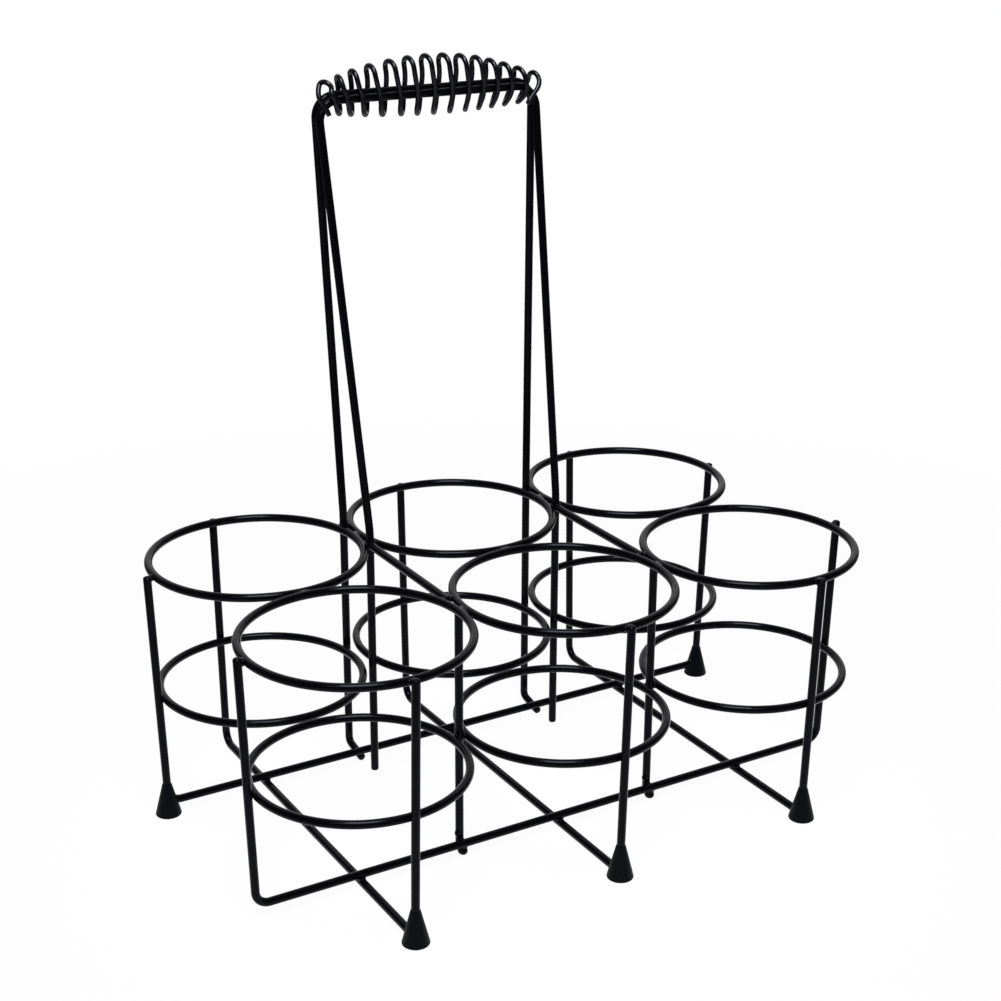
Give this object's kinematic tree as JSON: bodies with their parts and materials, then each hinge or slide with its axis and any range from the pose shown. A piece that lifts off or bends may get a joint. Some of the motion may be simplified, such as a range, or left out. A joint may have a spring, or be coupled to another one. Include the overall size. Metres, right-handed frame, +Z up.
{
  "type": "bottle caddy",
  "caption": "Welded black wire bottle carrier with two levels of rings in two rows, a tall double wire handle with a coiled grip, and conical rubber feet.",
  "frame": {"origin": "on the table, under the middle of the outline", "axes": "+Z up, +X along the rows of rings, +Y from the front row to the back row, which carries the handle"},
  "size_m": [0.2944, 0.1982, 0.3151],
  "materials": {
    "coated_wire": "semi-gloss black coating",
    "coil_wire": "semi-gloss black coating",
    "boot_rubber": "matte"
  },
  "bodies": {
    "root": {"upper_ring_back_left": "coated_wire", "lower_ring_back_left": "coated_wire", "upper_ring_back_middle": "coated_wire", "lower_ring_back_middle": "coated_wire", "upper_ring_back_right": "coated_wire", "lower_ring_back_right": "coated_wire", "upper_ring_front_left": "coated_wire", "lower_ring_front_left": "coated_wire", "upper_ring_front_middle": "coated_wire", "lower_ring_front_middle": "coated_wire", "upper_ring_front_right": "coated_wire", "lower_ring_front_right": "coated_wire", "back_rail_frame": "coated_wire", "front_rail_frame": "coated_wire", "cross_frame_left": "coated_wire", "cross_frame_middle": "coated_wire", "cross_frame_right": "coated_wire", "handle_wire_back": "coated_wire", "handle_wire_front": "coated_wire", "front_post_left": "coated_wire", "front_post_right": "coated_wire", "tie_left": "coated_wire", "tie_right": "coated_wire", "grip_coil": "coil_wire", "foot_back_left": "boot_rubber", "foot_back_right": "boot_rubber", "foot_front_left": "boot_rubber", "foot_front_middle": "boot_rubber", "foot_front_right": "boot_rubber"}
  },
  "joints": []
}
